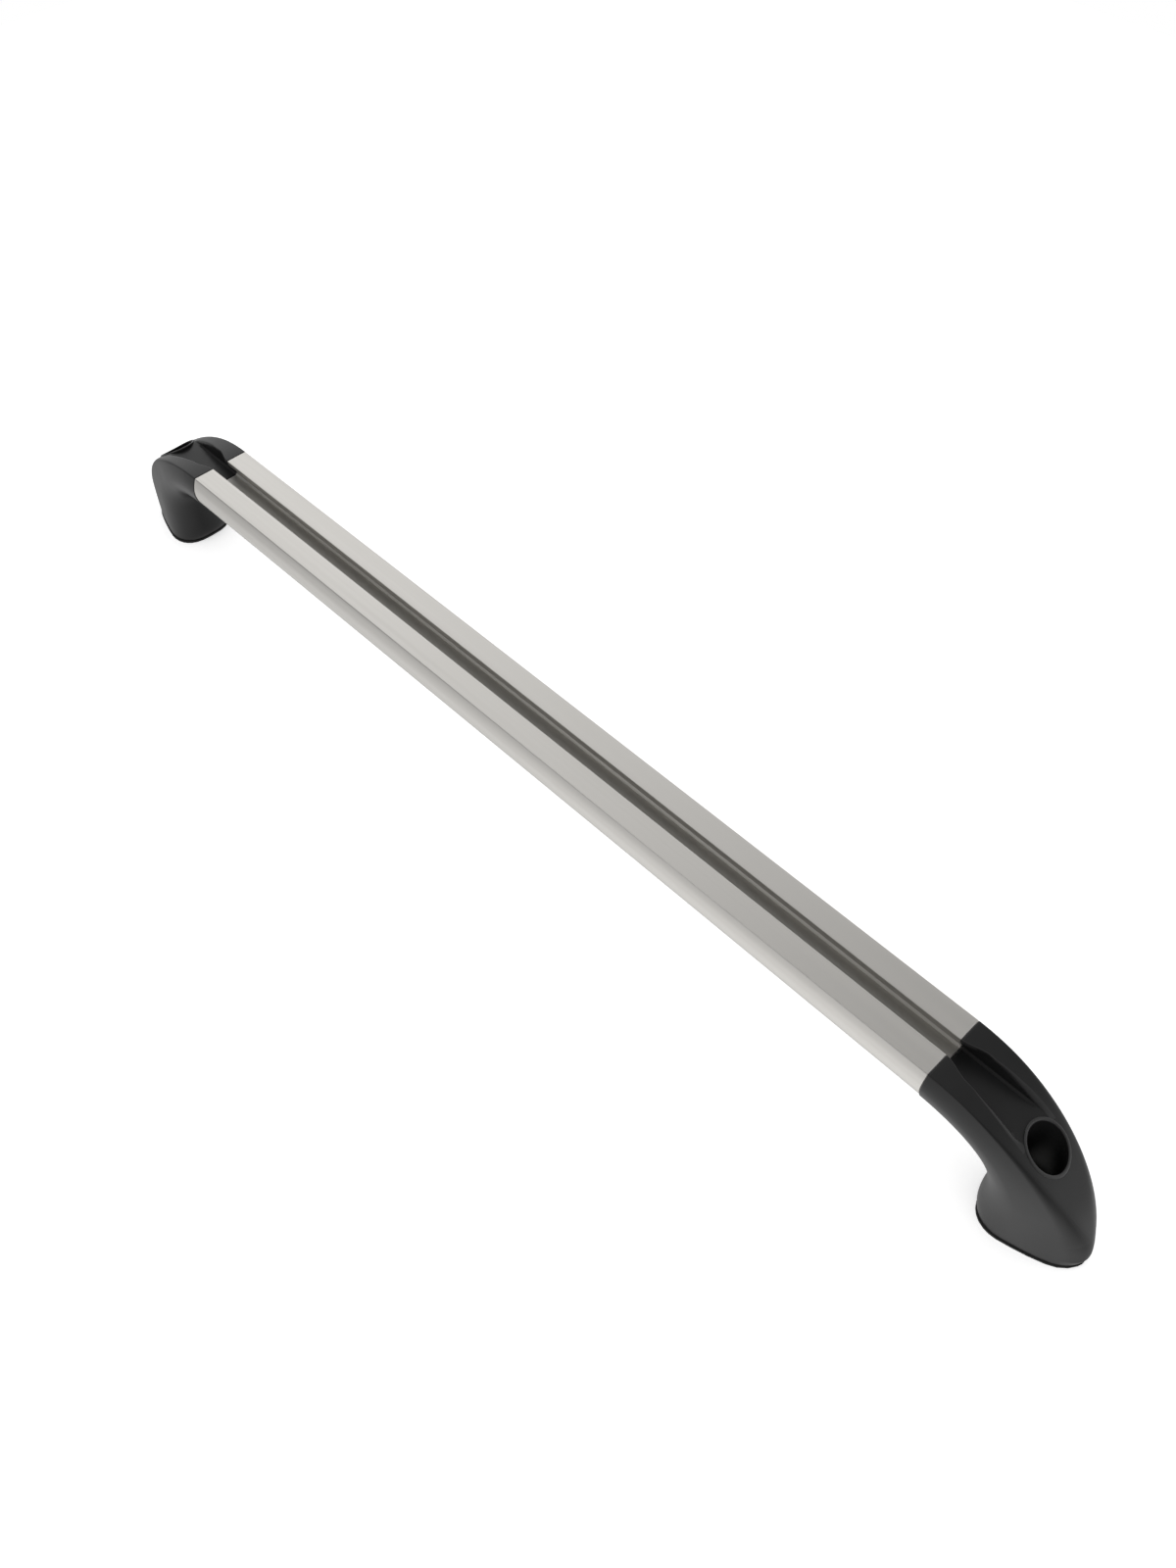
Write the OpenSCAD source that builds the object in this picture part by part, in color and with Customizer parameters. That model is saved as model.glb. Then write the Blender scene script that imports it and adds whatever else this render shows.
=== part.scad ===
// Screw-down grab rail: an aluminium slotted profile held by two moulded end feet.
// X runs along the rail, Y across it, Z up from the mounting surface. Millimetres.

/* [Overall] */
// Height of the rail's top face over the mounting surface
top_z = 66; // [56:1:90]
// Length of the aluminium profile between the two feet
rail_l = 449; // [200:1:1200]

/* [Profile] */
// Width of the flat top, from edge to edge
top_w = 30; // [27:0.5:36]
// How far each side bulges out past the top edge
side_bulge = 2.1; // [0.5:0.1:4]
// Depth below the top at which the profile is widest
belly_d = 8.1; // [6:0.1:10]
// Whole depth of the profile
rail_d = 23.8; // [22:0.1:28]
// Rounding of the two top edges
crease_r = 0.4; // [0.2:0.05:0.8]
// Thickness of the side walls
side_wall = 2.2; // [1.6:0.1:2.8]
// Thickness of the top lips
lip_t = 2.4; // [1.8:0.1:3]
// Thickness of the bottom wall
bottom_wall = 3; // [2.6:0.1:3.4]
// Thickness of the web round the slot
web_t = 2; // [1.4:0.1:2.4]

/* [Slot] */
// Width of the slot's mouth
mouth_w = 8.3; // [7:0.1:9]
// Width of the undercut below the lips
undercut_w = 15.1; // [12.6:0.1:16]
// Depth of the slot's floor below the top
slot_d = 10; // [8.6:0.1:10.6]
// Size of the sloped corners at the slot's floor
slot_corner = 0.9; // [0.4:0.1:1.6]
// Chamfer on the mouth's two edges
mouth_chamfer = 0.4; // [0.2:0.05:0.8]

/* [Foot] */
// Length of the foot at its base line, from the profile's end to the nose
foot_l = 73.5; // [68:0.5:84]
// How far the top runs level before it bends down
crown_l = 48; // [36:1:56]
// How far the nose's pull point lies past the base line
nose_belly = 7.4; // [0:0.2:12]
// Height of the nose's pull point over the base
nose_lift = 17; // [12:0.5:30]
// Distance from the profile's end to the heel of the base
heel_x = 32.2; // [28:0.2:33]
// How far the underside runs level before it turns down
throat_l = 44; // [30:0.5:50]
// How far the throat's pull point lies back from the heel
throat_back = 8; // [4:0.2:12]
// How far that pull point lies below the profile's underside
throat_drop = 32.2; // [20:0.2:36]
// Roundness of the foot's outline seen from above, along its length
plan_p = 2.3; // [2:0.05:3]
// Roundness of the foot's outline seen from above, across it
plan_q = 2.7; // [2:0.05:3.2]
// Extra half-width that the mould's draft gives at the base
draft_w = 2.1; // [0:0.1:4]
// Rounding of the top edges at the nose, across the foot
nose_r = 8.1; // [2:0.1:9]
// Rounding of the top edges at the nose, down the foot
nose_drop = 9.2; // [2:0.1:11]
// Wall of the hollow moulding
foot_wall = 3.2; // [2.4:0.1:4]
// Thickness of the ribs in the hollow
rib_t = 2.4; // [1.6:0.1:3.2]

/* [Nut ramp] */
// How far the lips take to open out from the slot's mouth
flare_l = 11; // [8:1:20]
// Width that the lips open by over that length
flare_w = 5.1; // [3:0.1:6.4]
// Width that the opening gains from there to the well
ramp_gain = 1.8; // [0:0.1:3]

/* [Bolt well] */
// Distance from the profile's end to the bolt's axis
well_x = 43.6; // [42:0.2:48]
// Diameter of the well for the bolt's head
well_dia = 16.3; // [14:0.1:17]
// Width of the raised ring round the well
ring_w = 1.2; // [1:0.1:2.4]
// How far the ring stands proud of the foot
ring_h = 0.6; // [0.4:0.1:1.6]
// Wall of the boss below the well
boss_wall = 2.6; // [2:0.1:3.2]
// Height of the well's floor over the mounting surface
seat_z = 14; // [10:0.5:20]

/* [Bolt sleeve] */
// Bore of the steel sleeve, clear for an M8 bolt
bolt_bore = 8.5; // [8.4:0.1:9]
// Wall of the sleeve
sleeve_wall = 1.75; // [1.2:0.05:2.5]
// Thickness of the sleeve's flange
flange_t = 1.6; // [1:0.1:2.5]
// Gap between the sleeve and the foot, on the radius
sleeve_gap = 0.1; // [0.05:0.05:0.3]
// Gap between the flange and the well's wall
flange_gap = 0.4; // [0.2:0.05:0.8]

/* [Base seal] */
// Thickness of the rubber seal under the foot
seal_t = 1; // [0.6:0.1:3]
// How far the seal's edge stands out past the foot's
seal_proud = 0.6; // [0:0.1:1.2]
// Gap between the seal and the sleeve
seal_gap = 0.3; // [0.1:0.05:1]

/* [Spigot] */
// Length of the spigot inside the profile
spigot_l = 32; // [26:1:60]
// Gap between the spigot and the profile
spigot_gap = 0.2; // [0.1:0.05:0.4]

/* [Spigot screws] */
// Distance of the first screw from the profile's end
screw_x = 9; // [7:0.5:12]
// Distance between the two screws
screw_pitch = 13; // [10:0.5:16]
// Diameter of the screw's shank
screw_dia = 4; // [3.5:0.1:4.5]
// Diameter of the countersunk head
head_dia = 7.6; // [7:0.1:8.4]
// Height of the countersunk head
head_h = 2.2; // [1.8:0.1:2.4]
// Length of the screw with its head
screw_l = 11; // [8:0.5:12]
// How far the head lies below the profile's underside
head_sunk = 0.2; // [0.1:0.05:0.4]
// Gap round the shank, on the radius
screw_gap = 0.1; // [0.05:0.05:0.2]
// Width across the flats of the screw's hexagon socket
socket_af = 2.5; // [2:0.5:3]
// Depth of that socket
socket_d = 1.4; // [1:0.1:1.8]

/* [Hidden] */
$fn = 64;

alu = "silver";
black = "#2b2b2c";
rubber = "#161616";
steel = "gainsboro";

eps = 0.01;
under_z = top_z - rail_d;               // the profile's underside
belly_w = top_w + 2 * side_bulge;       // the profile's greatest width
lower_d = rail_d - belly_d;             // depth of the rounded lower part
ramp_z = top_z - slot_d;                // the ramp's floor runs on from the slot's
well_r = well_dia / 2;
boss_r = well_r + boss_wall;
sleeve_r = bolt_bore / 2 + sleeve_wall;

// Half the profile's width at a depth below its top: a quarter sine wave
// down to the belly, then a quarter ellipse to the underside.
function profile_half(d) =
    d < belly_d
        ? top_w / 2 + side_bulge * sin(90 * d / belly_d)
        : belly_w / 2 * sqrt(max(0, 1 - pow((d - belly_d) / lower_d, 2)));

// The right-hand side of a profile, from a depth down to the underside's middle.
side_steps = 9;
lower_steps = 30;
function profile_side(from_d, wall, floor_wall) = concat(
    [for (i = [0 : side_steps - 1])
        let (d = from_d + (belly_d - from_d) * i / side_steps)
        [profile_half(d) - wall, -d]],
    [for (i = [0 : lower_steps])
        let (a = 90 * i / lower_steps)
        [(belly_w / 2 - wall) * cos(a), -belly_d - (lower_d - floor_wall) * sin(a)]]
);
function mirrored(points) = [for (i = [len(points) - 1 : -1 : 0]) [-points[i][0], points[i][1]]];

// ---- The foot's skin: rings of points strung between two curves ----

// A point on a cubic curve with end points a and d and pull points b and c.
function curve(a, b, c, d, t) =
    pow(1 - t, 3) * a + 3 * pow(1 - t, 2) * t * b + 3 * (1 - t) * t * t * c + t * t * t * d;

// The upper line, from the profile's top edge over the crown and down the nose.
function upper_line(t) = curve(
    [0, top_z], [crown_l, top_z],
    [foot_l + nose_belly, seal_t + nose_lift], [foot_l, seal_t], t);

// The lower line, from the profile's underside round the throat to the heel.
function lower_line(t) = curve(
    [0, under_z], [throat_l, under_z],
    [heel_x - throat_back, under_z - throat_drop], [heel_x, seal_t], t);

ring_count = 20;
flat_steps = 2;
corner_steps = 4;
flank_steps = 3;
under_steps = 8;
nose_x = max([for (i = [0 : 50]) upper_line(i / 50)[0]]);
least_w = 0.7;

// Half the foot's width seen from above: full at the profile, closing at the nose.
function plan_half(x) = top_w / 2 * pow(max(0, 1 - pow(x / nose_x, plan_p)), 1 / plan_q);

function blend(a, b, t) = a + (b - a) * t;

// Half a ring at station t: steps [share of the way down, loss of width, share of width].
function half_ring(t, inset) =
    let (
        up = upper_line(t),
        low = lower_line(t),
        reach = norm(up - low),
        dir = (low - up) / reach,
        depth = reach - 2 * inset,
        o = up + dir * inset,
        turn = pow(t, 1.4),
        r = min(blend(crease_r, nose_r, turn), 0.95 * plan_half(up[0])),
        drop = blend(crease_r, nose_drop, turn) / reach,
        belly = max(blend(belly_d / rail_d, 0.66, t), drop + 0.03),
        bend = blend(2, 2.9, t),
        steps = concat(
            [for (k = [0 : flat_steps - 1]) [0, r, k / flat_steps]],
            [for (k = [0 : corner_steps - 1])
                let (a = 90 * k / corner_steps)
                [drop * (1 - cos(a)), r * (1 - sin(a)), 1]],
            [for (k = [0 : flank_steps - 1]) [blend(drop, belly, k / flank_steps), 0, 1]],
            [for (k = [0 : under_steps])
                [blend(belly, 1, sin(90 * k / under_steps)), 0, k < under_steps ? 1 : 0]]
        )
    )
    [for (s = steps)
        let (
            p = o + dir * depth * s[0],
            q = up + dir * reach * s[0],
            side = min(s[0] / belly, 1),
            under = max(0, (s[0] - belly) / (1 - belly)),
            swell = 1 + side_bulge / top_w * 2 * (1 - 0.66 * t) * sin(90 * side)
                + draft_w / top_w * 2 * (top_z - q[1]) / top_z * side,
            close = pow(max(0, 1 - pow(under, 2)), 1 / bend),
            w = max(least_w, plan_half(q[0]) * swell * close - s[1])
        )
        [p[0], w * s[2] * (1 - 2 * inset / top_w), p[1]]];

// The whole ring, right half then left half, without the shared middle points twice.
function ring(t, inset = 0) =
    let (h = half_ring(t, inset), n = len(h))
    concat(h, [for (i = [n - 2 : -1 : 1]) [h[i][0], -h[i][1], h[i][2]]]);

// A closed skin over a list of rings.
module skin(rings) {
    m = len(rings[0]);
    n = len(rings);
    polyhedron(
        points = [for (r = rings) each r],
        faces = concat(
            [[for (j = [m - 1 : -1 : 0]) j]],
            [for (i = [0 : n - 2], j = [0 : m - 1])
                let (k = (j + 1) % m)
                each [
                    [i * m + j, (i + 1) * m + k, (i + 1) * m + j],
                    [i * m + j, i * m + k, (i + 1) * m + k]
                ]],
            [[for (j = [0 : m - 1]) (n - 1) * m + j]]
        )
    );
}

module foot_skin() {
    skin([for (i = [0 : ring_count - 1]) ring(i / (ring_count - 1))]);
}

// ---- Shared shapes ----

module along_x(length) {
    rotate([90, 0, 90]) linear_extrude(length) children();
}

// Puts a child at the right end, or turned half round at the left end.
module at_end(side) {
    rotate([0, 0, side > 0 ? 0 : 180]) translate([rail_l / 2, 0, 0]) children();
}

module profile_outline() {
    right = concat(
        [[top_w / 2 - crease_r, 0]],
        profile_side(crease_r, 0, 0)
    );
    polygon(concat(right, mirrored(right)));
}

// The right-hand side of the slot below its lips.
undercut_side = [
    [undercut_w / 2, -lip_t],
    [undercut_w / 2, -slot_d + slot_corner],
    [undercut_w / 2 - slot_corner, -slot_d]
];

module slot_outline() {
    m = mouth_w / 2;
    right = concat(
        [[m + mouth_chamfer + eps, eps], [m, -mouth_chamfer], [m, -lip_t]],
        undercut_side
    );
    polygon(concat(right, mirrored(right)));
}

// The hollow round the slot's web; gap makes the smaller shape that fits in it.
module chamber_outline(gap) {
    inside = profile_side(lip_t + 0.6 + gap, side_wall + gap, bottom_wall + gap);
    block_w = undercut_w + 2 * web_t + 2 * gap;
    block_d = slot_d + web_t + gap;
    difference() {
        polygon(concat(inside, mirrored(inside)));
        translate([-block_w / 2, -block_d]) square([block_w, block_d]);
    }
}

// ---- Pieces ----

module rail_profile() {
    color(alu)
    difference() {
        translate([-rail_l / 2, 0, top_z])
        along_x(rail_l)
        difference() {
            profile_outline();
            slot_outline();
            chamber_outline(0);
        }
        for (side = [-1, 1], i = [0, 1]) at_end(side) at_screw(i) {
            translate([0, 0, -eps]) cylinder(r = screw_dia / 2 + 2 * screw_gap, h = bottom_wall + 1);
            countersink(screw_gap);
        }
    }
}

// The axis of a screw, from the profile's underside up: 0 is the one at the profile's end.
module at_screw(i) {
    translate([-screw_x - i * screw_pitch, 0, under_z]) children();
}

module countersink(gap) {
    translate([0, 0, -eps])
        cylinder(r = head_dia / 2 + gap, h = head_sunk + 2 * eps);
    translate([0, 0, head_sunk])
        cylinder(r1 = head_dia / 2 + gap, r2 = screw_dia / 2 + gap, h = head_h);
}

// The moulded shell is one mesh, from which the true bores are then cut.
module foot_shell() {
    resize([0, 0, 0])
    difference() {
        union() {
            difference() {
                foot_skin();
                nut_ramp();
            }
            well_ring();
        }
        foot_hollow();
    }
}

module foot_body() {
    difference() {
        foot_shell();
        translate([well_x, 0, seat_z]) cylinder(r = well_r, h = top_z);
        translate([well_x, 0, 0]) cylinder(r = sleeve_r + sleeve_gap, h = top_z);
    }
}

// The ramp: the slot's undercut runs straight on through the falling crown to the
// well, and the lips over it flare open.
ramp_steps = 14;
function ramp_half(x) =
    let (s = min(1, max(0, x / flare_l)))
    mouth_w / 2 + flare_w / 2 * s * s * (3 - 2 * s) + ramp_gain / 2 * max(0, x) / well_x;

module nut_ramp() {
    side = concat(
        [[-1, ramp_half(0)]],
        [for (i = [0 : ramp_steps])
            let (x = well_x * i / ramp_steps)
            [x, ramp_half(x)]]
    );
    translate([0, 0, ramp_z + slot_corner])
        linear_extrude(slot_d)
        polygon(concat(side, [for (i = [len(side) - 1 : -1 : 0]) [side[i][0], -side[i][1]]]));
    translate([-1, 0, top_z])
        along_x(well_x + 1)
        polygon(concat(undercut_side, mirrored(undercut_side)));
}

// The raised ring's top is the crown again, pushed towards the nose, so that it
// stands proudest on the side that lies lowest.
module well_ring() {
    intersection() {
        translate([1.5 * ring_h, 0, 0]) foot_skin();
        translate([well_x, 0, seal_t + nose_lift / 2]) cylinder(r = well_r + ring_w, h = top_z);
    }
}

// The mould's core: an inner skin open at the base, less the boss and the ribs.
hollow_from = 0.36;
hollow_rings = 10;
module foot_hollow() {
    last = ring(1, foot_wall);
    difference() {
        skin(concat(
            [for (i = [0 : hollow_rings - 1])
                ring(blend(hollow_from, 1, i / (hollow_rings - 1)), foot_wall)],
            [[for (p = last) p - [0, 0, 1]]]
        ));
        translate([well_x, 0, 0]) cylinder(r = boss_r, h = top_z);
        translate([0, -rib_t / 2, 0]) cube([foot_l + nose_belly, rib_t, top_z]);
    }
}

module spigot() {
    difference() {
        translate([-spigot_l, 0, top_z]) along_x(spigot_l + 0.5) chamber_outline(spigot_gap);
        for (i = [0, 1])
            at_screw(i) cylinder(r = screw_dia / 2 + screw_gap, h = bottom_wall + screw_l);
    }
}

module foot() {
    color(black) union() {
        foot_body();
        spigot();
    }
}

module base_seal() {
    outline = [for (p = ring(1, -seal_proud)) [p[0], p[1]]];
    color(rubber)
    linear_extrude(seal_t)
    difference() {
        polygon(outline);
        translate([well_x, 0]) circle(r = sleeve_r + seal_gap);
    }
}

module bolt_sleeve() {
    color(steel)
    translate([well_x, 0, 0])
    rotate_extrude()
    polygon([
        [bolt_bore / 2, 0], [sleeve_r, 0], [sleeve_r, seat_z],
        [well_r - flange_gap, seat_z], [well_r - flange_gap, seat_z + flange_t],
        [bolt_bore / 2, seat_z + flange_t]
    ]);
}

module rail_screw(i) {
    color(steel)
    at_screw(i)
    difference() {
        translate([0, 0, head_sunk]) union() {
            cylinder(r1 = head_dia / 2, r2 = screw_dia / 2, h = head_h);
            cylinder(r = screw_dia / 2, h = screw_l);
        }
        translate([0, 0, head_sunk - eps])
            cylinder(r = socket_af / sqrt(3), h = socket_d, $fn = 6);
    }
}

rail_profile();
at_end(-1) foot();  // left_foot
at_end(1) foot();  // right_foot
at_end(-1) base_seal();  // left_base_seal
at_end(1) base_seal();  // right_base_seal
at_end(-1) bolt_sleeve();  // left_bolt_sleeve
at_end(1) bolt_sleeve();  // right_bolt_sleeve
at_end(-1) rail_screw(1);  // left_inner_screw
at_end(-1) rail_screw(0);  // left_outer_screw
at_end(1) rail_screw(1);  // right_inner_screw
at_end(1) rail_screw(0);  // right_outer_screw
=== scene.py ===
import math

import bmesh
import bpy
import numpy as np
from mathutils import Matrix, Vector


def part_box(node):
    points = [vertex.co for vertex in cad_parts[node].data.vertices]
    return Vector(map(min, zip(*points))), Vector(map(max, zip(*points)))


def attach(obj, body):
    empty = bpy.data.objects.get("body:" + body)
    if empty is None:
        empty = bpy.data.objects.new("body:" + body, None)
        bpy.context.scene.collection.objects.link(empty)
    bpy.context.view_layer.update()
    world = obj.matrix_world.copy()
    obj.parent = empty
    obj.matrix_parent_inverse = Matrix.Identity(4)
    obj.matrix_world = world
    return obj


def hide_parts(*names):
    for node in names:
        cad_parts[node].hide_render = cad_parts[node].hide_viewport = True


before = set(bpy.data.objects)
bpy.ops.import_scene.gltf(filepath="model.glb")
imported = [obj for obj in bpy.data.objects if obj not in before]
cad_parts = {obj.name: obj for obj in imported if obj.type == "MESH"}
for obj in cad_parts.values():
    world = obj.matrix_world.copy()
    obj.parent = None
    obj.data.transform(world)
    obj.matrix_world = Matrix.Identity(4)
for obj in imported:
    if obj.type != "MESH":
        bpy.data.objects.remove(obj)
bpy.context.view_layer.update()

# ---------------------------------------------------------------------------
# Rail profile
# One length of extruded aluminium, sawn square and clear anodised. An undercut
# slot runs along its top; below it the section is rounded for the hand. The hollow
# chamber inside, which the feet's spigots push into, can't be seen and isn't made.
# ---------------------------------------------------------------------------

rail_low, rail_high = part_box("rail_profile")
rail_end = rail_high.x
rail_top = rail_high.z
top_half = 0.015
belly_half = rail_high.y
belly_depth = 0.0081
rail_depth = rail_top - rail_low.z
lip_thickness = 0.0024
mouth_half = 0.00415
undercut_half = 0.00755
slot_depth = 0.010
slot_corner = 0.0009
die_round = 0.0004
under_round = 0.0005
saw_bevel = 0.0003


def flank_half(depth):
    """Half width of the rail at a depth below its top: the top's half width plus
    a quarter sine wave down to the belly, then a quarter ellipse to the underside."""
    rise = np.sin(np.pi / 2 * np.clip(depth / belly_depth, 0, 1))
    upper = top_half + (belly_half - top_half) * rise
    fall = np.clip((depth - belly_depth) / (rail_depth - belly_depth), 0, 1)
    return np.where(depth < belly_depth, upper, belly_half * np.sqrt(1 - fall ** 2))


def fillet(corner, before, after, radius, steps=5):
    """A rounded corner: the quadratic curve that leaves the edge towards `before` and
    meets the edge towards `after`, both at one radius from the corner."""
    corner, before, after = (np.asarray(p, float) for p in (corner, before, after))
    start = corner + (before - corner) / np.linalg.norm(before - corner) * radius
    end = corner + (after - corner) / np.linalg.norm(after - corner) * radius
    s = np.linspace(0, 1, steps)[:, None]
    return (1 - s) ** 2 * start + 2 * (1 - s) * s * corner + s ** 2 * end


def slotted_outline():
    """Right half of the section from the underside's middle up the flank, over the
    top and round the slot to its floor, then the same points mirrored. The top edges and
    the lips are rounded by the die; the slot's floor meets its walls in a short slope."""
    a = np.linspace(0, np.pi / 2, 40)
    lower = np.column_stack([belly_half * np.sin(a),
                             -belly_depth - (rail_depth - belly_depth) * np.cos(a)])
    depth = np.linspace(belly_depth, die_round, 16)[1:]
    upper = np.column_stack([flank_half(depth), -depth])
    lip_edge, ceiling = (mouth_half, -lip_thickness), (undercut_half, -lip_thickness)
    root = [(undercut_half, slot_corner - slot_depth),
            (undercut_half - slot_corner, -slot_depth)]
    edge = fillet((top_half, 0), upper[-1], (0, 0), die_round)
    mouth = fillet((mouth_half, 0), (top_half, 0), lip_edge, die_round)
    lip = fillet(lip_edge, (mouth_half, 0), ceiling, die_round)
    under = fillet(ceiling, lip_edge, root[0], under_round)
    right = np.vstack([lower, upper, edge, mouth, lip, under, root])
    left = right[::-1] * (-1, 1)
    return np.vstack([right, left[:-1]])


def shrunk(outline, by):
    """A closed outline with every side moved inwards by a distance: each point goes along
    the line that halves its corner."""
    ahead = np.roll(outline, -1, 0) - outline
    ahead = ahead / np.linalg.norm(ahead, axis=1)[:, None]
    along = ahead + np.roll(ahead, 1, 0)
    along = along / np.linalg.norm(along, axis=1)[:, None]
    turned_in = np.sign(np.cross(outline, np.roll(outline, -1, 0)).sum())
    inward = turned_in * np.column_stack([-along[:, 1], along[:, 0]])
    mitre = np.clip((along * ahead).sum(1), 0.7, 1)[:, None]
    return outline + inward * by / mitre


def closed_grid(rows):
    """Points and faces of a grid of closed rows, with a flat face on the first and last."""
    m, n = rows.shape[:2]
    i, j = np.meshgrid(np.arange(m - 1), np.arange(n), indexing="ij")
    k = (j + 1) % n
    faces = np.stack([i * n + j, (i + 1) * n + j, (i + 1) * n + k, i * n + k], -1).reshape(-1, 4)
    ends = [np.arange(n).tolist(), ((m - 1) * n + np.arange(n)[::-1]).tolist()]
    return rows.reshape(-1, 3), faces.tolist() + ends


def prism(outline, places):
    """An outline in Y and Z set up at several places along X, each with the distance that
    it is shrunk by there, and joined into one solid."""
    rows = [np.column_stack([np.full(len(outline), x), shrunk(outline, by)]) for x, by in places]
    return closed_grid(np.array(rows))


def as_piece(name, points, faces):
    """A Blender object with this mesh, its normals turned outwards."""
    mesh = bpy.data.meshes.new(name)
    mesh.from_pydata(np.asarray(points).tolist(), [], faces)
    work = bmesh.new()
    work.from_mesh(mesh)
    bmesh.ops.remove_doubles(work, verts=work.verts, dist=1e-6)
    bmesh.ops.recalc_face_normals(work, faces=work.faces)
    work.to_mesh(mesh)
    work.free()
    piece = bpy.data.objects.new(name, mesh)
    bpy.context.scene.collection.objects.link(piece)
    return piece


def cut(piece, cutter):
    """Takes the cutter's solid out of the piece and removes the cutter."""
    step = piece.modifiers.new("cut", "BOOLEAN")
    step.operation = "DIFFERENCE"
    step.solver = "EXACT"
    step.object = cutter
    seen = piece.evaluated_get(bpy.context.evaluated_depsgraph_get())
    result = bpy.data.meshes.new_from_object(seen)
    piece.modifiers.clear()
    piece.data = result
    bpy.data.objects.remove(cutter)


def smooth_to(piece, degrees):
    """Smooth shading, with every edge sharper than this angle kept crisp."""
    piece.data.shade_smooth()
    piece.data.set_sharp_from_angle(angle=math.radians(degrees))


def ring_faces(steps, n):
    """Faces of a closed profile of n points set up at each of the steps round an axis."""
    i, j = np.meshgrid(np.arange(steps), np.arange(n), indexing="ij")
    i2, j2 = (i + 1) % steps, (j + 1) % n
    return np.stack([i * n + j, i2 * n + j, i2 * n + j2, i * n + j2], -1).reshape(-1, 4).tolist()


def turned(profile, axis_x, steps=96):
    """A closed profile of radius and height turned round an upright axis: points and faces."""
    profile = np.asarray(profile, float)
    a = np.linspace(0, 2 * np.pi, steps, endpoint=False)[:, None]
    points = np.stack([axis_x + profile[:, 0] * np.cos(a), profile[:, 0] * np.sin(a),
                       np.broadcast_to(profile[:, 1], (steps, len(profile)))], -1)
    return points.reshape(-1, 3), ring_faces(steps, len(profile))


rail = as_piece("rail_extrusion", *prism(slotted_outline() + (0, rail_top), [
    (-rail_end, saw_bevel), (saw_bevel - rail_end, 0),
    (rail_end - saw_bevel, 0), (rail_end, saw_bevel)]))
sink_rim, sink_shank = 0.0039, 0.0021
sink_profile = [(0, -0.001), (sink_rim, -0.001), (sink_rim, 0.0002),
                (sink_shank, 0.0024), (sink_shank, 0.004), (0, 0.004)]
for screw in ("left_inner_screw", "left_outer_screw", "right_inner_screw", "right_outer_screw"):
    low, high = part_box(screw)
    sink = turned(np.array(sink_profile) + (0, rail_low.z), (low.x + high.x) / 2)
    cut(rail, as_piece("countersink", *sink))
smooth_to(rail, 28)
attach(rail, "root")
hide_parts("rail_profile")


def finish(name, make):
    """A material with this name, whose surface shader `make` lays out."""
    material = bpy.data.materials.new(name)
    material.use_nodes = True
    tree = material.node_tree
    tree.nodes.clear()
    out = tree.nodes.new("ShaderNodeOutputMaterial")
    surface = tree.nodes.new("ShaderNodeBsdfPrincipled")
    tree.links.new(surface.outputs[0], out.inputs["Surface"])
    make(tree, surface)
    return material


def grain(tree, scale, stretch=(1, 1, 1), detail=3):
    """Noise over the piece's own coordinates, in metres, drawn out along one axis."""
    place = tree.nodes.new("ShaderNodeTexCoord")
    mapping = tree.nodes.new("ShaderNodeMapping")
    noise = tree.nodes.new("ShaderNodeTexNoise")
    mapping.inputs["Scale"].default_value = stretch
    noise.inputs["Scale"].default_value = scale
    noise.inputs["Detail"].default_value = detail
    tree.links.new(place.outputs["Object"], mapping.inputs["Vector"])
    tree.links.new(mapping.outputs[0], noise.inputs["Vector"])
    return noise.outputs["Fac"]


def between(tree, value, low, high):
    """The value from 0.3 to 0.7 spread from low to high."""
    spread = tree.nodes.new("ShaderNodeMapRange")
    spread.inputs["From Min"].default_value = 0.3
    spread.inputs["From Max"].default_value = 0.7
    spread.inputs["To Min"].default_value = low
    spread.inputs["To Max"].default_value = high
    tree.links.new(value, spread.inputs["Value"])
    return spread.outputs["Result"]


def tint(tree, value, dark, light):
    """A colour from dark to light as the value goes from 0.3 to 0.7."""
    ramp = tree.nodes.new("ShaderNodeValToRGB")
    ramp.color_ramp.elements[0].position = 0.3
    ramp.color_ramp.elements[1].position = 0.7
    ramp.color_ramp.elements[0].color = (*dark, 1)
    ramp.color_ramp.elements[1].color = (*light, 1)
    tree.links.new(value, ramp.inputs["Fac"])
    return ramp.outputs["Color"]


def raise_grain(tree, surface, value, strength, height):
    """Bump on the surface, from a value and with a height in metres."""
    bump = tree.nodes.new("ShaderNodeBump")
    bump.inputs["Strength"].default_value = strength
    bump.inputs["Distance"].default_value = height
    tree.links.new(value, bump.inputs["Height"])
    tree.links.new(bump.outputs[0], surface.inputs["Normal"])


def anodised(tree, surface):
    """Clear anodising over an etched extrusion: an even warm grey metal, with die lines
    a few hundredths of a millimetre apart that run the whole length."""
    lines = grain(tree, 900, (0.004, 1, 1), 4)
    cloud = grain(tree, 26, (0.25, 1, 1), 2)
    surface.inputs["Metallic"].default_value = 1
    tree.links.new(tint(tree, cloud, (0.705, 0.687, 0.654), (0.735, 0.717, 0.684)),
                   surface.inputs["Base Color"])
    tree.links.new(between(tree, lines, 0.34, 0.46), surface.inputs["Roughness"])
    raise_grain(tree, surface, lines, 0.25, 0.00002)


def slot_painted_shade(tree, surface):
    """The same anodising inside the slot: duller, and painted a little darker as painted shade
    for the slot's hollow."""
    lines = grain(tree, 700, (0.006, 1, 1), 3)
    surface.inputs["Metallic"].default_value = 1
    tree.links.new(tint(tree, lines, (0.60, 0.585, 0.555), (0.66, 0.645, 0.61)),
                   surface.inputs["Base Color"])
    tree.links.new(between(tree, lines, 0.44, 0.56), surface.inputs["Roughness"])


rail.data.materials.append(finish("anodised_aluminium_satin", anodised))
rail.data.materials.append(finish("anodised_aluminium_slot_painted_shade", slot_painted_shade))
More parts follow.
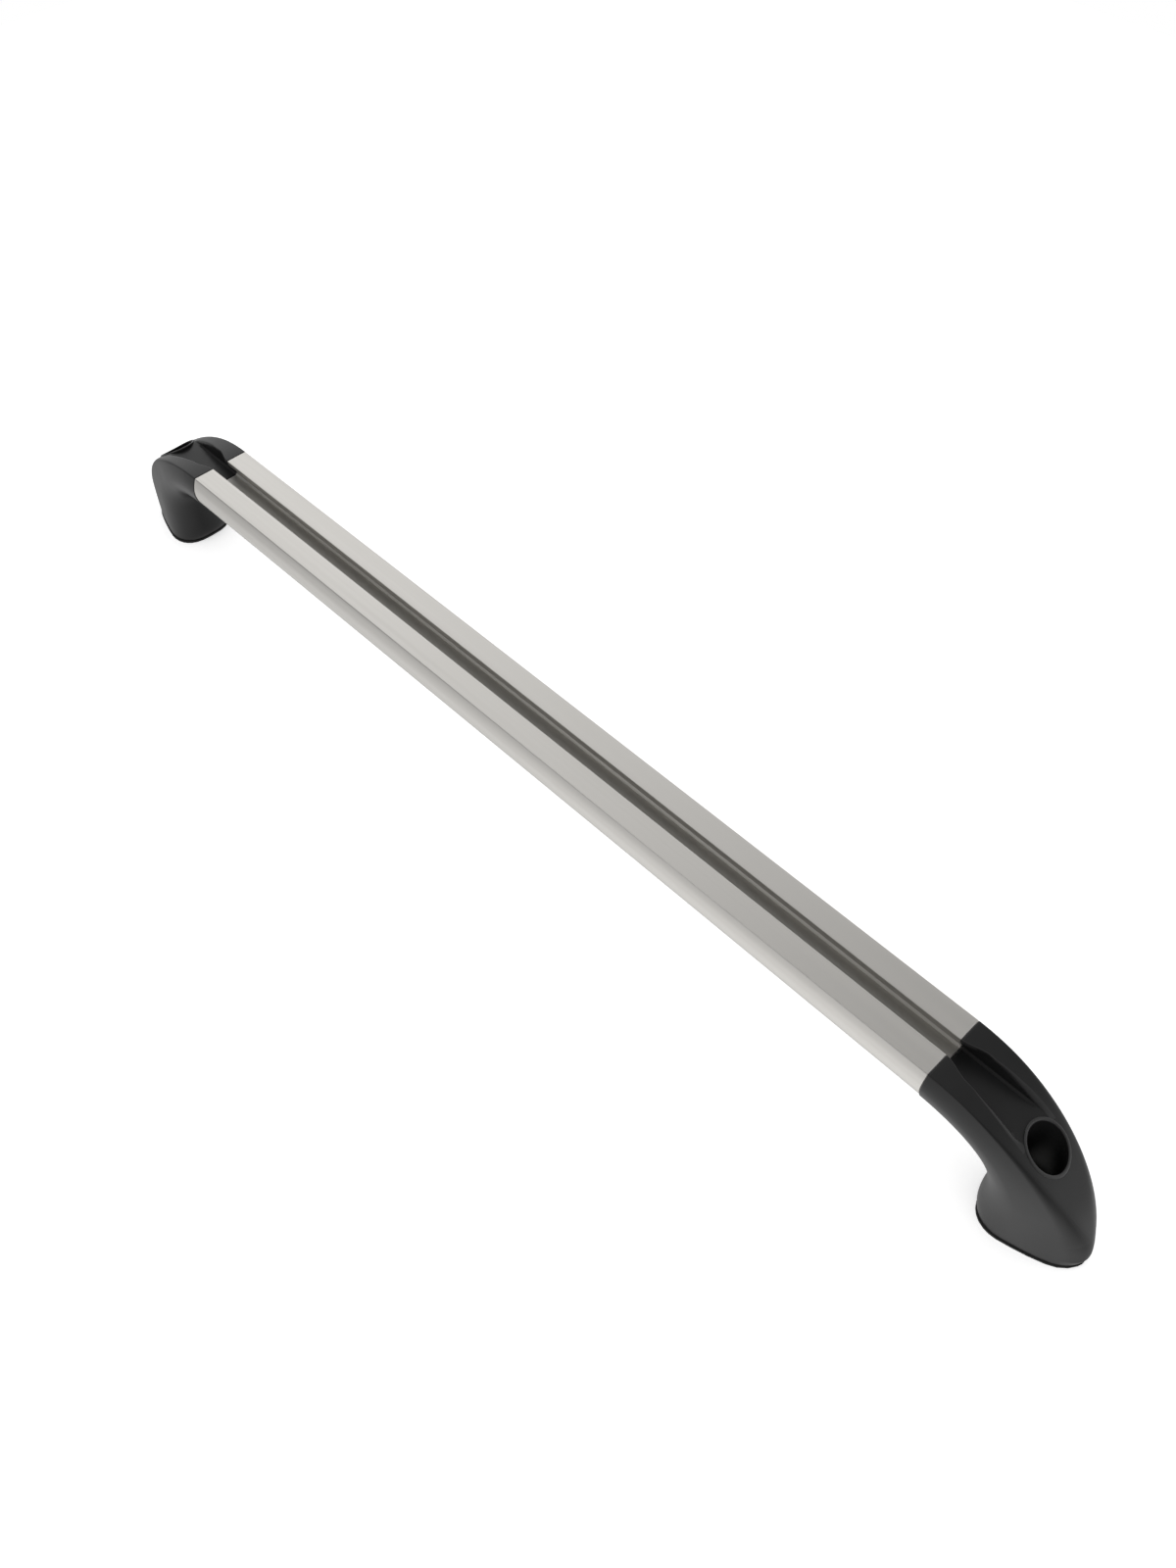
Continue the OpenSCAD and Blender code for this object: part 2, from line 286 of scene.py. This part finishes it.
# The slot's faces take the duller finish and its painted shade, apart from the two slopes
# along its floor.
middle = np.array([face.center for face in rail.data.polygons])
upward = np.array([face.normal.z for face in rail.data.polygons])
sloped = (upward > 0.5) & (upward < 0.9)
inside = ((np.abs(middle[:, 1]) < undercut_half + 0.0001)
          & (middle[:, 2] < rail_top - 0.0006) & (middle[:, 2] > rail_top - slot_depth - 0.0001)
          & (np.abs(middle[:, 0]) < rail_end - 0.001) & ~sloped)
rail.data.polygons.foreach_set("material_index", inside.astype(np.int32))

# ---------------------------------------------------------------------------
# End feet
# Two castings from one mould, in glass-filled nylon with a fine satin grain. The
# section swings down from the rail's into an oval base; the slot's floor runs out
# level through the crown as a ramp, and a deep round well takes the fixing bolt.
# ---------------------------------------------------------------------------

foot_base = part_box("left_foot")[0].z
foot_drop = rail_top - foot_base
foot_length = 0.0735
nose_pull = (0.0809, -0.048)
crown_pull = 0.048
throat_pull = 0.044
heel_pull = (0.0242, -0.056)
heel = 0.0322
plan_power = 2.3
plan_root = 2.7
nose_round = 0.0081
nose_round_drop = 0.0092
draft = 0.0021
well_axis = 0.0436
well_radius = 0.00815
well_floor = 0.014
sleeve_hole = 0.0061
ring_width = 0.0012
ring_push = 0.0009
ring_edge = 0.0006
flare_length = 0.011
flare_half = 0.0026
ramp_gain_half = 0.0009
front_round = 0.0003


def pulled_curve(a, b, c, d, t):
    """The cubic curve from a to d that is pulled towards b and c: the four points
    weighted by (1-t)^3, 3(1-t)^2 t, 3(1-t)t^2 and t^3."""
    a, b, c, d = (np.asarray(p, float) for p in (a, b, c, d))
    t = t[:, None]
    return (1 - t) ** 3 * a + 3 * (1 - t) ** 2 * t * b + 3 * (1 - t) * t ** 2 * c + t ** 3 * d


def crown_line(t):
    """The foot's upper line in X and Z, from the rail's top down to the nose."""
    return pulled_curve((0, 0), (crown_pull, 0), nose_pull, (foot_length, -foot_drop), t)


def throat_line(t):
    """The foot's under line in X and Z, from the rail's underside to the heel."""
    return pulled_curve((0, -rail_depth), (throat_pull, -rail_depth), heel_pull,
                        (heel, -foot_drop), t)


nose_reach = crown_line(np.linspace(0, 1, 400))[:, 0].max() * 1.0001


def plan_half(x):
    """Half width of the foot seen from above: a superellipse that is full at the rail
    and closes at the nose."""
    share = np.clip(np.abs(x) / nose_reach, 0, 1)
    return top_half * np.clip(1 - share ** plan_power, 0, 1) ** (1 / plan_root)


def eased(x, start, end):
    """0 up to the start and 1 from the end on, with a smooth step between them."""
    s = np.clip((x - start) / (end - start), 0, 1)
    return s * s * (3 - 2 * s)


def lip_half(x):
    """Half width of the opening between the lips: the slot's mouth, flared by a smooth
    step over eleven millimetres, then widening slowly until the lips run out into the
    falling crown, where it takes the channel's own width."""
    lips = (mouth_half + flare_half * eased(x, 0, flare_length)
            + ramp_gain_half * np.clip(x, 0, 0.05) / well_axis)
    return lips + (undercut_half - lips) * eased(x, 0.013, 0.019)


def shoulder(x):
    """Width of the rounding from the lip's edge on to the crown, which grows by a smooth
    step as the channel runs out."""
    return 0.0004 + 0.0017 * eased(x, 0.012, 0.034)


def foot_surface(stations=170):
    """Rows of points strung between the crown line and the throat line, one row for each
    station t. Down a row the half width is the plan's, swelled by a quarter sine wave
    and the mould's draft to the belly, then closed by a superellipse to the throat. The top
    rounds over as a superellipse too, as tight as the edge radius at its side and flat in
    the middle. There a row dips to the channel's level floor, goes up the undercut's
    wall and round the lip's edge, for as long as the crown is above that floor."""
    t = np.linspace(0, 1, stations)
    crown, throat = crown_line(t), throat_line(t)
    reach = np.linalg.norm(throat - crown, axis=1)
    way = (throat - crown) / reach[:, None]
    r = np.minimum(np.maximum(nose_round * t ** 1.4, 0.0004), plan_half(crown[:, 0]) * 0.95)
    drop = np.maximum(nose_round_drop * t ** 1.4, 0.0004)
    belly = np.maximum(0.34 + 0.32 * t, drop / reach + 0.03)
    close_a, close_b = 2, 2 + 0.9 * t

    def at(down, loss):
        """Point at a distance down the row, with the half width less a loss."""
        x = crown[:, 0] + way[:, 0] * down
        z = crown[:, 1] + way[:, 1] * down
        up = np.clip(down / reach / belly, 0, 1)
        low = np.clip((down / reach - belly) / (1 - belly), 0, 1)
        swell = 1 + 0.14 * (1 - 0.66 * t) * np.sin(np.pi / 2 * up)
        swell = swell + draft / top_half * np.clip(-z / foot_drop, 0, 1) * up
        width = plan_half(x) * swell * np.clip(1 - low ** close_a, 0, 1) ** (1 / close_b)
        return x, np.maximum(width - loss, 0.0003), z

    across = plan_half(crown[:, 0])
    power = 2 * across / r
    flat = across - r

    def over(y):
        """Point of the rounded top at a distance from the middle."""
        share = np.clip(y / across, 0, 1)
        return at(drop * (1 - np.sqrt(1 - share ** power)), across - y)

    depth = np.clip(slot_depth + crown[:, 1], 0, None)
    narrow = np.minimum(0.75 * flat / undercut_half, 1)
    steep = np.maximum(-way[:, 1], 0.05)
    edge = shoulder(crown[:, 0])
    rise = np.minimum(0.0004 + 0.0011 * eased(crown[:, 0], 0.012, 0.030), 0.85 * depth)
    ceiling = np.minimum(slot_depth - lip_thickness, depth - rise)
    columns = []

    def dip(half, height):
        """Point at a height over the channel's floor, as far as the crown is above it."""
        down = (depth - np.minimum(height, depth)) / steep
        y = half(crown[:, 0] + way[:, 0] * down) * narrow
        down = down + drop * (1 - np.sqrt(1 - np.clip(y / across, 0, 1) ** power))
        columns.append((crown[:, 0] + way[:, 0] * down, y, crown[:, 1] + way[:, 1] * down))

    corner = np.minimum(slot_corner, ceiling)
    for k in range(9):
        dip(lambda x: 0 * x + (undercut_half - slot_corner) * k / 8, 0 * t)
    for k in range(7):
        dip(lambda x: 0 * x + undercut_half, corner + (ceiling - corner) * k / 6)
    for k in (1, 2, 3):
        dip(lambda x: undercut_half + (lip_half(x) - undercut_half) * k / 3, ceiling)
    for k in (1, 2, 3):
        dip(lip_half, ceiling + (depth - rise - ceiling) * k / 3)
    for a in np.radians((15, 30, 45, 60, 75, 90)):
        dip(lambda x: lip_half(x) + edge * (1 - np.cos(a)), depth - rise * (1 - np.sin(a)))
    start = columns[-1][1]
    for k in range(1, 10):
        columns.append(over(start + (flat - start) * k / 9))
    slant = np.arcsin((flat / across) ** (power / 2))
    for k in range(1, 11):
        a = slant + (np.pi / 2 - slant) * k / 10
        columns.append(at(drop * (1 - np.cos(a)), across * (1 - np.sin(a) ** (2 / power))))
    for k in range(1, 15):
        columns.append(at(drop + (belly * reach - drop) * k / 14, 0))
    for k in range(1, 25):
        share = belly + (1 - belly) * np.sin(np.pi / 2 * k / 24)
        columns.append(at(share * reach, 0))
    x, y, z = (np.stack(part, 1) for part in zip(*columns))
    y[:, 0] = y[:, -1] = 0
    right = np.stack([x, y, z], -1)
    left = (right * (1, -1, 1))[:, -2:0:-1]
    rows = np.concatenate([right, left], 1)
    front = []
    for a in np.radians((0, 20, 40, 60, 90)):
        back = front_round * (1 - np.cos(a)) / rows[1, 0, 0]
        front.append(rows[0] + (rows[1] - rows[0]) * back)
        front[-1][:, 1:] = shrunk(front[-1][:, 1:], front_round * (1 - np.sin(a)))
    return np.concatenate([front, rows[1:]])


def well_lining(rings=128):
    """Points and faces of the well's wall and raised ring, turned about the bolt's axis:
    the ring's height is the crown line's at that point, pushed a little towards the nose,
    so that the ring stands proudest on its lowest side. Its top is rounded both ways."""
    line = crown_line(np.linspace(0, 1, 600))
    upto = line[:, 0].argmax()
    a = np.linspace(0, 2 * np.pi, rings, endpoint=False)[:, None]
    lip = np.radians(np.linspace(0, 90, 7))
    over, fall = ring_edge * (1 - np.cos(lip)), ring_edge * (np.sin(lip) - 1)
    rho = np.concatenate([well_radius + over, well_radius + ring_width - over[::-1],
                          [well_radius + ring_width + 0.0002]])
    above = np.concatenate([fall, fall[::-1], [-0.005]])
    x = well_axis + rho * np.cos(a)
    y = rho * np.sin(a)
    z = rail_top + np.interp(x - ring_push, line[:upto, 0], line[:upto, 1]) + above
    inner = [(well_radius + 0.0011, foot_base + 0.0002), (sleeve_hole, foot_base + 0.0002),
             (sleeve_hole, well_floor), (well_radius - 0.0004, well_floor),
             (well_radius, well_floor + 0.0004)]
    ones = np.ones((rings, 1))
    xs = np.concatenate([x] + [well_axis + r * np.cos(a) for r, _ in inner], 1)
    ys = np.concatenate([y] + [r * np.sin(a) for r, _ in inner], 1)
    zs = np.concatenate([z] + [h * ones for _, h in inner], 1)
    return np.stack([xs, ys, zs], -1).reshape(-1, 3), ring_faces(rings, xs.shape[1])


shell_points, shell_faces = closed_grid(foot_surface() + (0, 0, rail_top))
lining_points, lining_faces = well_lining()
for side, turn in (("left", -1), ("right", 1)):
    place = np.array((turn, turn, 1))
    foot = as_piece(side + "_foot_moulding",
                    (shell_points + (rail_end, 0, 0)) * place, shell_faces)
    bore = turned([(0, -0.01), (well_radius + 0.0005, -0.01),
                   (well_radius + 0.0005, 0.09), (0, 0.09)], well_axis + rail_end)
    cut(foot, as_piece("bore", bore[0] * place, bore[1]))
    smooth_to(foot, 35)
    lining = as_piece(side + "_foot_well",
                      (lining_points + (rail_end, 0, 0)) * place, lining_faces)
    smooth_to(lining, 40)
    for piece in (foot, lining):
        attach(piece, "root")
    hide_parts(side + "_foot")


def nylon(dark, light):
    """Nylon between two shades, with the mould's spark-eroded grain, and slightly uneven
    in gloss."""
    def lay_out(tree, surface):
        pits = grain(tree, 2600, detail=2)
        patch = grain(tree, 70, detail=3)
        tree.links.new(tint(tree, patch, dark, light), surface.inputs["Base Color"])
        tree.links.new(between(tree, patch, 0.32, 0.38), surface.inputs["Roughness"])
        surface.inputs["Specular IOR Level"].default_value = 0.42
        raise_grain(tree, surface, pits, 0.3, 0.00003)
    return lay_out


# The body colour, and the same nylon painted paler on the well's ring and on the shoulders
# beside the channel: painted highlights for those rounded edges catching the light.
charcoal = finish("moulded_nylon_charcoal",
                  nylon((0.0075, 0.0075, 0.0077), (0.0092, 0.0092, 0.0094)))
painted_ring_highlight = finish("moulded_nylon_painted_ring_highlight", nylon((0.021, 0.021, 0.0213), (0.027, 0.027, 0.0273)))
painted_shoulder_highlight = finish("moulded_nylon_painted_shoulder_highlight", nylon((0.017, 0.017, 0.0173), (0.021, 0.021, 0.0213)))


def dress_moulding(name, paler, where):
    """Gives a piece the charcoal finish, and a paler one as a painted highlight to the faces
    that
    `where` picks out by distance along the foot, distance from its middle and height."""
    mesh = bpy.data.objects[name].data
    mesh.materials.clear()
    mesh.materials.append(charcoal)
    mesh.materials.append(paler)
    middle = np.array([face.center for face in mesh.polygons])
    picked = where(np.abs(middle[:, 0]) - rail_end, np.abs(middle[:, 1]), middle[:, 2])
    mesh.polygons.foreach_set("material_index", picked.astype(np.int32))


def ring_top(x, y, z):
    """The faces between the well's wall and the ring's outer side."""
    out = np.hypot(x - well_axis, y) - well_radius
    return (out > 0.000005) & (out < ring_width - 0.000001)


def shoulder_edge(x, y, z):
    """The faces of the rounding beside the channel, as far as the well."""
    line = crown_line(np.linspace(0, 1, 400))
    line = line[:line[:, 0].argmax()]
    deep = rail_top + np.interp(x, line[:, 0], line[:, 1]) - z
    beyond = y - lip_half(x)
    return (beyond > 0) & (beyond < shoulder(x)) & (deep < 0.0017) & (x < well_axis - 0.004)


# The shoulders and the well's ring take the paler nylon as a painted highlight.
for side in ("left", "right"):
    dress_moulding(side + "_foot_moulding", painted_shoulder_highlight, shoulder_edge)
    dress_moulding(side + "_foot_well", painted_ring_highlight, ring_top)

# ---------------------------------------------------------------------------
# Base seals
# A thin black rubber gasket under each foot, cut to the foot's outline and standing
# out a little past its edge.
# ---------------------------------------------------------------------------


def seal_rubber(tree, surface):
    """Black rubber, dull and a little dusty."""
    dust = grain(tree, 400, detail=4)
    tree.links.new(tint(tree, dust, (0.010, 0.010, 0.010), (0.017, 0.017, 0.0165)),
                   surface.inputs["Base Color"])
    surface.inputs["Roughness"].default_value = 0.72
    raise_grain(tree, surface, dust, 0.3, 0.00004)


def dress(node, material):
    """Gives a carried-over solid this material in every slot."""
    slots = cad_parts[node].data.materials
    slots.clear()
    slots.append(material)


rubber = finish("seal_rubber_black", seal_rubber)
for side in ("left", "right"):
    dress(side + "_base_seal", rubber)

# ---------------------------------------------------------------------------
# Bolt sleeves
# A turned and zinc-plated steel sleeve with a flange, dropped into each well so that
# the bolt clamps on steel and not on the moulding.
# ---------------------------------------------------------------------------


def turned_steel(tree, surface):
    """Zinc plate over fine turning marks that run round the sleeve."""
    marks = grain(tree, 1500, (1, 1, 6), 3)
    surface.inputs["Metallic"].default_value = 1
    tree.links.new(tint(tree, marks, (0.40, 0.40, 0.39), (0.50, 0.50, 0.49)),
                   surface.inputs["Base Color"])
    tree.links.new(between(tree, marks, 0.32, 0.46), surface.inputs["Roughness"])
    raise_grain(tree, surface, marks, 0.2, 0.00002)


zinc = finish("sleeve_steel_zinc", turned_steel)
for side in ("left", "right"):
    dress(side + "_bolt_sleeve", zinc)

# ---------------------------------------------------------------------------
# Rail screws
# Countersunk stainless screws with a hexagon socket, two at each end, driven up
# through the rail's underside into the foot's spigot.
# ---------------------------------------------------------------------------


def stainless(tree, surface):
    """Plain stainless steel, cold headed, with faint drawn streaks."""
    streaks = grain(tree, 1800, (1, 1, 0.2), 3)
    surface.inputs["Metallic"].default_value = 1
    tree.links.new(tint(tree, streaks, (0.50, 0.50, 0.49), (0.58, 0.575, 0.565)),
                   surface.inputs["Base Color"])
    tree.links.new(between(tree, streaks, 0.24, 0.36), surface.inputs["Roughness"])


screw_metal = finish("screw_stainless", stainless)
for side in ("left", "right"):
    dress(side + "_inner_screw", screw_metal)
    dress(side + "_outer_screw", screw_metal)

# ---------------------------------------------------------------------------
# Stage: a white floor, a soft lamp and the camera
# ---------------------------------------------------------------------------


def add_node(tree, kind, inputs=(), operation=None):
    """A node with its inputs set, by value or by a link from another node's socket."""
    node = tree.nodes.new(kind)
    if operation:
        node.operation = operation
    for name, value in dict(inputs).items():
        if isinstance(value, bpy.types.NodeSocket):
            tree.links.new(value, node.inputs[name])
        else:
            node.inputs[name].default_value = value
    return node


def ranged(tree, value, start, end, low, high):
    """A value spread evenly from low at the start to high at the end, and held past them."""
    return add_node(tree, "ShaderNodeMapRange", {
        "Value": value, "From Min": start, "From Max": end, "To Min": low, "To Max": high,
    }).outputs[0]


def white_ground(material):
    """A white matt ground. The camera sees it lifted to full white away from the object's
    shadow. Reflections see a pool of light on it, brightest beside the object, that fades
    out to grey at either side and past both ends, and in the shade right under the rail."""
    material.use_nodes = True
    tree = material.node_tree
    tree.nodes.clear()
    path = add_node(tree, "ShaderNodeLightPath")
    paper = add_node(tree, "ShaderNodeBsdfDiffuse", {"Color": (0.86, 0.86, 0.86, 1)})
    lift = add_node(tree, "ShaderNodeEmission", {"Color": (1, 1, 1, 1), "Strength": 0.4})
    both = add_node(tree, "ShaderNodeAddShader", {0: paper.outputs[0], 1: lift.outputs[0]})
    place = add_node(tree, "ShaderNodeTexCoord")
    split = add_node(tree, "ShaderNodeSeparateXYZ", {"Vector": place.outputs["Object"]})
    away = add_node(tree, "ShaderNodeMath", {0: split.outputs["Y"]}, "ABSOLUTE")
    pool = ranged(tree, away.outputs[0], 0.0, 0.35, 1.08, 0.62)
    ahead = ranged(tree, split.outputs["X"], -0.35, 0.2, 0.74, 1.0)
    beneath = ranged(tree, away.outputs[0], 0.0, 0.035, 0.4, 1.0)
    beyond = ranged(tree, split.outputs["X"], 0.27, 0.42, 1.0, 0.6)
    along = add_node(tree, "ShaderNodeMath", {0: pool, 1: ahead}, "MULTIPLY")
    aside = add_node(tree, "ShaderNodeMath", {0: beneath, 1: beyond}, "MULTIPLY")
    dimmed = add_node(tree, "ShaderNodeMath",
                      {0: along.outputs[0], 1: aside.outputs[0]}, "MULTIPLY")
    shine = add_node(tree, "ShaderNodeEmission", {"Strength": dimmed.outputs[0]})
    mirrored = add_node(tree, "ShaderNodeMixShader", {
        "Fac": path.outputs["Is Glossy Ray"], 1: paper.outputs[0], 2: shine.outputs[0]})
    mix = add_node(tree, "ShaderNodeMixShader", {
        "Fac": path.outputs["Is Camera Ray"], 1: mirrored.outputs[0], 2: both.outputs[0]})
    add_node(tree, "ShaderNodeOutputMaterial", {"Surface": mix.outputs[0]})
    return material


floor_mesh = bpy.data.meshes.new("floor")
floor_mesh.from_pydata([(-0.9, -0.9, 0), (0.9, -0.9, 0), (0.9, 0.9, 0), (-0.9, 0.9, 0)],
                       [], [(0, 1, 2, 3)])
floor = bpy.data.objects.new("floor", floor_mesh)
bpy.context.scene.collection.objects.link(floor)
floor.data.materials.append(white_ground(bpy.data.materials.new("floor_white")))

# A white studio. Reflections see a bright panel high up behind the rail, which fades
# towards its right end, over grey walls that are darker in front.
world = bpy.data.worlds.new("studio")
bpy.context.scene.world = world
world.use_nodes = True
sky = world.node_tree
sky.nodes.clear()
ray = add_node(sky, "ShaderNodeLightPath")
toward = add_node(sky, "ShaderNodeTexCoord")
split = add_node(sky, "ShaderNodeSeparateXYZ", {"Vector": toward.outputs["Generated"]})
bright = ranged(sky, split.outputs["X"], -1.0, -0.1, 1.42, 0.30)
low_down = ranged(sky, split.outputs["Y"], -0.35, 0.4, 0.2, 0.95)
behind = ranged(sky, split.outputs["Y"], -0.3, 0.2, 0.0, 1.0)
raised = ranged(sky, split.outputs["Z"], 0.1, 0.65, 0.0, 1.0)
panel = add_node(sky, "ShaderNodeMath", {0: behind, 1: raised}, "MULTIPLY")
mirrored = add_node(sky, "ShaderNodeMix",
                    {"Factor": panel.outputs[0], "A": low_down, "B": bright})
shade = add_node(sky, "ShaderNodeMix", {
    "Factor": ray.outputs["Is Glossy Ray"], "A": 1.0, "B": mirrored.outputs[0]})
seen = add_node(sky, "ShaderNodeMath", {0: ray.outputs["Is Camera Ray"],
                                        1: ray.outputs["Is Transmission Ray"]}, "MAXIMUM")
level = add_node(sky, "ShaderNodeMix",
                 {"Factor": seen.outputs[0], "A": shade.outputs[0], "B": 1.0})
backdrop = add_node(sky, "ShaderNodeBackground",
                    {"Color": (1, 1, 1, 1), "Strength": level.outputs[0]})
add_node(sky, "ShaderNodeOutputWorld", {"Surface": backdrop.outputs[0]})


def soft_lamp(name, place, aim, size, power):
    """A square lamp at a place, turned towards its aim."""
    lamp = bpy.data.lights.new(name, "AREA")
    lamp.shape = "SQUARE"
    lamp.size = size
    lamp.energy = power
    holder = bpy.data.objects.new(name, lamp)
    holder.location = place
    holder.rotation_euler = (Vector(aim) - Vector(place)).to_track_quat("-Z", "Y").to_euler()
    bpy.context.scene.collection.objects.link(holder)


soft_lamp("key_lamp", (-0.6, -1.2, 1.5), (0, 0, 0), 0.8, 3)

camera_data = bpy.data.cameras.new("camera")
camera_data.lens = 31.99
camera_data.sensor_width = 36
camera_data.shift_x = -0.0131
camera_data.shift_y = -0.0086
camera_data.clip_start = 0.01
camera = bpy.data.objects.new("camera", camera_data)
camera.location = (0.3043, -0.2496, rail_top + 0.4445)
camera.rotation_euler = (math.radians(90 - 51.213), 0, math.radians(45.459))
bpy.context.scene.collection.objects.link(camera)
bpy.context.scene.camera = camera

bpy.context.scene.view_settings.view_transform = "Standard"
